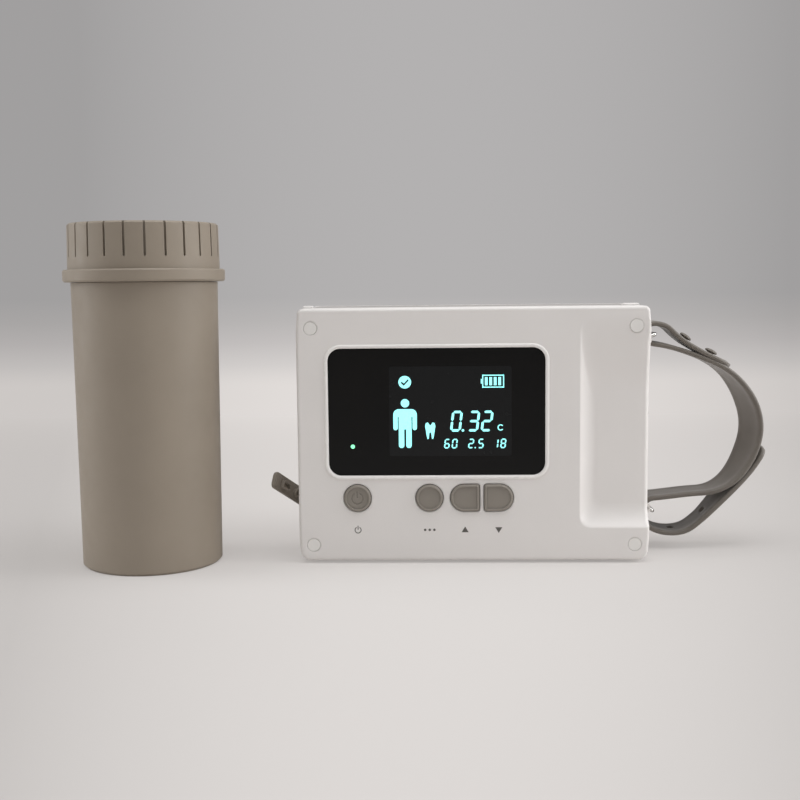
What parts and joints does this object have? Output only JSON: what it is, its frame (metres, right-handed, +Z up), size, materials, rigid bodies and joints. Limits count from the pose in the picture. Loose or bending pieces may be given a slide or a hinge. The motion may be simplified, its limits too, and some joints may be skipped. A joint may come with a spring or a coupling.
{
  "type": "portable x-ray unit",
  "caption": "Portable x-ray unit with display face, press buttons, thumb scoop, side hand strap, port flap and a tapered beam cone with lock ring standing beside it.",
  "frame": {"origin": "bottom centre of the whole set's bounding box, on the table", "axes": "X to the operator's right, Y away from the operator along the beam, Z up"},
  "size_m": [0.3412, 0.1208, 0.1627],
  "materials": {
    "casing": "fine satin",
    "top_inlay": "satin",
    "black_glass": "gloss",
    "display": "gloss",
    "inner_plastic": "satin",
    "circuit_board": "satin",
    "light_guide": "gloss",
    "cap_grey": "satin",
    "steel": "satin",
    "brass_insert": "satin",
    "foot_rubber": "matte",
    "flap_rubber": "matte",
    "bail_wire": "polished",
    "ear_plastic": "satin",
    "strap_silicone": "matte",
    "stud_plastic": "satin",
    "cone_plastic": "satin",
    "lead": "dull",
    "beam_disc": "satin",
    "aluminium": "satin",
    "tube_glass": "gloss",
    "copper": "satin",
    "cathode_metal": "satin",
    "power_parts": "satin",
    "battery_wrap": "gloss",
    "button_taupe": "satin"
  },
  "bodies": {
    "unit": {"operator_cover": "casing", "main_housing": "casing", "top_panel": "top_inlay", "display_window": "black_glass", "display_module": "display", "display_bracket": "inner_plastic", "control_board": "circuit_board", "tact_switches": "inner_plastic", "status_light": "light_guide", "buzzer": "inner_plastic", "screw_caps": "cap_grey", "cover_screws": "steel", "screw_inserts": "brass_insert", "board_screws": "steel", "feet": "foot_rubber", "flap_tether": "flap_rubber", "usb_port": "steel", "dc_jack": "inner_plastic", "port_board": "circuit_board", "ring_ears": "ear_plastic", "hand_strap": "strap_silicone", "strap_studs": "stud_plastic", "cone_socket": "cone_plastic", "socket_screws": "steel", "beam_window": "beam_disc", "beam_filter": "aluminium", "tube_tank": "aluminium", "tank_lid": "aluminium", "xray_tube": "tube_glass", "tube_anode": "copper", "tube_cathode": "cathode_metal", "tube_shield": "lead", "tank_screws": "steel", "power_board": "circuit_board", "power_parts": "power_parts", "power_screws": "steel", "trigger_switch": "inner_plastic", "battery_cells": "battery_wrap", "battery_cradle": "inner_plastic"},
    "cone": {"cone_tube": "cone_plastic", "cone_liner": "lead", "cone_retainer": "cone_plastic"},
    "lock_ring": {"cone_lock_ring": "cone_plastic"},
    "power_button": {"power_button": "button_taupe"},
    "mode_button": {"mode_button": "button_taupe"},
    "up_button": {"up_button": "button_taupe"},
    "down_button": {"down_button": "button_taupe"},
    "trigger": {"exposure_trigger": "button_taupe"},
    "flap": {"port_flap": "flap_rubber"},
    "ring_upper": {"strap_ring_upper": "bail_wire"},
    "ring_lower": {"strap_ring_lower": "bail_wire"}
  },
  "joints": [
    {"name": "power_press", "type": "slide", "parent": "unit", "child": "power_button", "axis": [0, 1, 0], "range_m": [0, 0.0006], "stiffness_N_per_m": 1500},
    {"name": "mode_press", "type": "slide", "parent": "unit", "child": "mode_button", "axis": [0, 1, 0], "range_m": [0, 0.0006], "stiffness_N_per_m": 1500},
    {"name": "up_press", "type": "slide", "parent": "unit", "child": "up_button", "axis": [0, 1, 0], "range_m": [0, 0.0006], "stiffness_N_per_m": 1500},
    {"name": "down_press", "type": "slide", "parent": "unit", "child": "down_button", "axis": [0, 1, 0], "range_m": [0, 0.0006], "stiffness_N_per_m": 1500},
    {"name": "trigger_press", "type": "slide", "parent": "unit", "child": "trigger", "axis": [0, -1, 0], "range_m": [0, 0.0012], "stiffness_N_per_m": 1500},
    {"name": "flap_swing", "type": "hinge", "parent": "unit", "child": "flap", "pos_m": [-0.06009, 0.0114, 0.02255], "axis": [-0.7439, 0.0839, -0.663], "range_deg": [-38.6, 0]},
    {"name": "cone_lift", "type": "slide", "parent": "unit", "child": "cone", "axis": [0, 0, 1], "range_m": [0, 0.08]},
    {"name": "ring_spin", "type": "hinge", "parent": "cone", "child": "lock_ring", "pos_m": [-0.13274, -0.0225, 0.1355], "axis": [0, 0, 1], "continuous": true},
    {"name": "bail_swing_upper", "type": "hinge", "parent": "unit", "child": "ring_upper", "pos_m": [0.10911, 0.0064, 0.1057], "axis": [0, 1, 0], "range_deg": [-12, 12]},
    {"name": "bail_swing_lower", "type": "hinge", "parent": "unit", "child": "ring_lower", "pos_m": [0.10911, 0.0064, 0.02235], "axis": [0, 1, 0], "range_deg": [-12, 6]}
  ]
}
